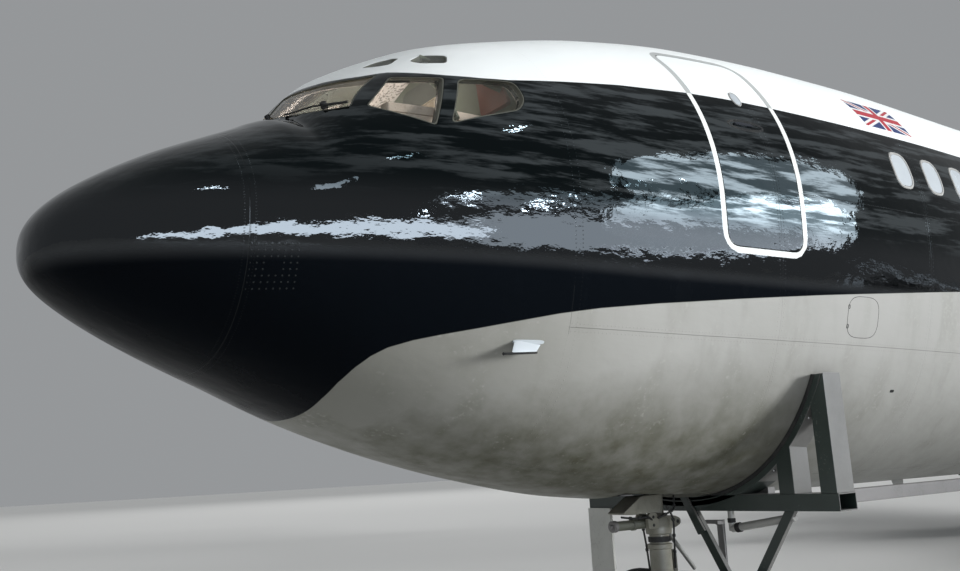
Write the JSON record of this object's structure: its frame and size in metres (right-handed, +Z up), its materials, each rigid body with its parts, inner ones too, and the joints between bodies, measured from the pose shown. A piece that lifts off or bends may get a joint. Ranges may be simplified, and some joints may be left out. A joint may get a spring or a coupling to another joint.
{
  "type": "narrow body airliner, 1:2 scale model on its gear and forward fuselage cradle",
  "caption": "Swept-wing jet airliner with underslung engine pods, glossy dark nose and band, white crown, turning wheels, rotors and control surfaces, on gear and a steel cradle.",
  "frame": {"origin": "on the ground under the middle of the overall length, in the plane of symmetry", "axes": "+X aft towards the tail, +Y to starboard, +Z up; the nose points along -X"},
  "size_m": [23.305, 21.705, 6.675],
  "materials": {
    "navy_gloss": "gloss",
    "fuselage_paint": "gloss",
    "door_paint": "gloss",
    "grey_paint": "semi-gloss",
    "cockpit_glass": "clear",
    "seat_fabric": "woven",
    "interior_panel": "matte",
    "wing_metal": "satin",
    "fin_paint": "gloss",
    "nacelle_metal": "polished",
    "rotor_metal": "satin",
    "tyre_rubber": "matte",
    "gear_steel": "semi-gloss",
    "cradle_paint": "satin",
    "pad_rubber": "matte"
  },
  "bodies": {
    "airframe": {"belly_fairing": "grey_paint", "centre_fuselage": "fuselage_paint", "cockpit_section": "navy_gloss", "cradle": "cradle_paint", "cradle_pad_front": "pad_rubber", "cradle_pad_rear": "pad_rubber", "fin": "fin_paint", "forward_fuselage": "fuselage_paint", "forward_passenger_door": "door_paint", "forward_service_door": "door_paint", "instrument_panel": "interior_panel", "main_leg_left": "gear_steel", "main_leg_right": "gear_steel", "nacelle_1": "nacelle_metal", "nacelle_2": "nacelle_metal", "nacelle_3": "nacelle_metal", "nacelle_4": "nacelle_metal", "nose_leg": "gear_steel", "pilot_seat_left": "seat_fabric", "pilot_seat_right": "seat_fabric", "pylon_1": "grey_paint", "pylon_2": "grey_paint", "pylon_3": "grey_paint", "pylon_4": "grey_paint", "radome": "navy_gloss", "rear_fuselage": "fuselage_paint", "rear_passenger_door": "door_paint", "rear_service_door": "door_paint", "side_window_left": "cockpit_glass", "side_window_right": "cockpit_glass", "sliding_window_left": "cockpit_glass", "sliding_window_right": "cockpit_glass", "tail_section": "fuselage_paint", "tailplane_left": "wing_metal", "tailplane_right": "wing_metal", "windshield_left": "cockpit_glass", "windshield_right": "cockpit_glass", "wing_left": "wing_metal", "wing_right": "wing_metal"},
    "elevator_left_unit": {"elevator_left": "wing_metal"},
    "elevator_right_unit": {"elevator_right": "wing_metal"},
    "inner_aileron_left_unit": {"inner_aileron_left": "wing_metal"},
    "inner_aileron_right_unit": {"inner_aileron_right": "wing_metal"},
    "inner_flap_left_unit": {"inner_flap_left": "wing_metal"},
    "inner_flap_right_unit": {"inner_flap_right": "wing_metal"},
    "main_wheels_front_left_unit": {"main_wheels_front_left": "tyre_rubber"},
    "main_wheels_front_right_unit": {"main_wheels_front_right": "tyre_rubber"},
    "main_wheels_rear_left_unit": {"main_wheels_rear_left": "tyre_rubber"},
    "main_wheels_rear_right_unit": {"main_wheels_rear_right": "tyre_rubber"},
    "nose_steering_unit": {"nose_strut": "gear_steel"},
    "outer_aileron_left_unit": {"outer_aileron_left": "wing_metal"},
    "outer_aileron_right_unit": {"outer_aileron_right": "wing_metal"},
    "outer_flap_left_unit": {"outer_flap_left": "wing_metal"},
    "outer_flap_right_unit": {"outer_flap_right": "wing_metal"},
    "rotor_1_unit": {"rotor_1": "rotor_metal"},
    "rotor_2_unit": {"rotor_2": "rotor_metal"},
    "rotor_3_unit": {"rotor_3": "rotor_metal"},
    "rotor_4_unit": {"rotor_4": "rotor_metal"},
    "rudder_unit": {"rudder": "fin_paint"},
    "nose_wheels_unit": {"nose_wheels": "tyre_rubber"}
  },
  "joints": [
    {"name": "elevator_left_turn", "type": "hinge", "parent": "airframe", "child": "elevator_left_unit", "pos_m": [9.88655, -0.475, 2.4497], "axis": [-0.4349, 0.8937, -0.1099], "range_deg": [-22, 18]},
    {"name": "elevator_right_turn", "type": "hinge", "parent": "airframe", "child": "elevator_right_unit", "pos_m": [9.88655, 0.475, 2.4497], "axis": [0.4349, 0.8937, 0.1099], "range_deg": [-22, 18]},
    {"name": "inner_aileron_left_turn", "type": "hinge", "parent": "airframe", "child": "inner_aileron_left_unit", "pos_m": [0.38632, -3.6, 1.54228], "axis": [-0.5003, 0.8594, -0.1055], "range_deg": [-20, 20]},
    {"name": "inner_aileron_right_turn", "type": "hinge", "parent": "airframe", "child": "inner_aileron_right_unit", "pos_m": [0.38632, 3.6, 1.54228], "axis": [0.5003, 0.8594, 0.1055], "range_deg": [-20, 20]},
    {"name": "inner_flap_left_turn", "type": "hinge", "parent": "airframe", "child": "inner_flap_left_unit", "pos_m": [0.14966, -1.2006, 1.03604], "axis": [-0.1846, 0.9755, -0.1198], "range_deg": [0, 40]},
    {"name": "inner_flap_right_turn", "type": "hinge", "parent": "airframe", "child": "inner_flap_right_unit", "pos_m": [0.14966, 1.2006, 1.03604], "axis": [0.1846, 0.9755, 0.1198], "range_deg": [0, 40]},
    {"name": "main_wheels_front_left_turn", "type": "hinge", "parent": "airframe", "child": "main_wheels_front_left_unit", "pos_m": [-0.3525, -1.6825, 0.2925], "axis": [0, 1, 0], "continuous": true},
    {"name": "main_wheels_front_right_turn", "type": "hinge", "parent": "airframe", "child": "main_wheels_front_right_unit", "pos_m": [-0.3525, 1.6825, 0.2925], "axis": [0, 1, 0], "continuous": true},
    {"name": "main_wheels_rear_left_turn", "type": "hinge", "parent": "airframe", "child": "main_wheels_rear_left_unit", "pos_m": [0.3575, -1.6825, 0.2925], "axis": [0, 1, 0], "continuous": true},
    {"name": "main_wheels_rear_right_turn", "type": "hinge", "parent": "airframe", "child": "main_wheels_rear_right_unit", "pos_m": [0.3575, 1.6825, 0.2925], "axis": [0, 1, 0], "continuous": true},
    {"name": "nose_steering", "type": "hinge", "parent": "airframe", "child": "nose_steering_unit", "pos_m": [-8.9875, 0, 0.2475], "axis": [0, 0, 1], "range_deg": [-55, 55]},
    {"name": "outer_aileron_left_turn", "type": "hinge", "parent": "airframe", "child": "outer_aileron_left_unit", "pos_m": [2.6997, -7.65, 2.0394], "axis": [-0.5036, 0.8575, -0.1053], "range_deg": [-20, 20]},
    {"name": "outer_aileron_right_turn", "type": "hinge", "parent": "airframe", "child": "outer_aileron_right_unit", "pos_m": [2.6997, 7.65, 2.0394], "axis": [0.5036, 0.8575, 0.1053], "range_deg": [-20, 20]},
    {"name": "outer_flap_left_turn", "type": "hinge", "parent": "airframe", "child": "outer_flap_left_unit", "pos_m": [0.89349, -4.64449, 1.50928], "axis": [-0.5052, 0.8566, -0.1051], "range_deg": [0, 40]},
    {"name": "outer_flap_right_turn", "type": "hinge", "parent": "airframe", "child": "outer_flap_right_unit", "pos_m": [0.89349, 4.64449, 1.50928], "axis": [0.5052, 0.8566, 0.1051], "range_deg": [0, 40]},
    {"name": "rotor_1_turn", "type": "hinge", "parent": "airframe", "child": "rotor_1_unit", "pos_m": [-1.1025, -7.1, 1.365], "axis": [1, 0, 0], "continuous": true},
    {"name": "rotor_2_turn", "type": "hinge", "parent": "airframe", "child": "rotor_2_unit", "pos_m": [-3.4275, -4.13, 1.015], "axis": [1, 0, 0], "continuous": true},
    {"name": "rotor_3_turn", "type": "hinge", "parent": "airframe", "child": "rotor_3_unit", "pos_m": [-3.4275, 4.13, 1.015], "axis": [1, 0, 0], "continuous": true},
    {"name": "rotor_4_turn", "type": "hinge", "parent": "airframe", "child": "rotor_4_unit", "pos_m": [-1.1025, 7.1, 1.365], "axis": [1, 0, 0], "continuous": true},
    {"name": "rudder_turn", "type": "hinge", "parent": "airframe", "child": "rudder_unit", "pos_m": [8.83049, 0, 3.075], "axis": [0.3801, 0, 0.9249], "range_deg": [-25, 25]},
    {"name": "nose_wheels_turn", "type": "hinge", "parent": "nose_steering_unit", "child": "nose_wheels_unit", "pos_m": [-8.9875, 0, 0.2475], "axis": [0, 1, 0], "continuous": true}
  ]
}
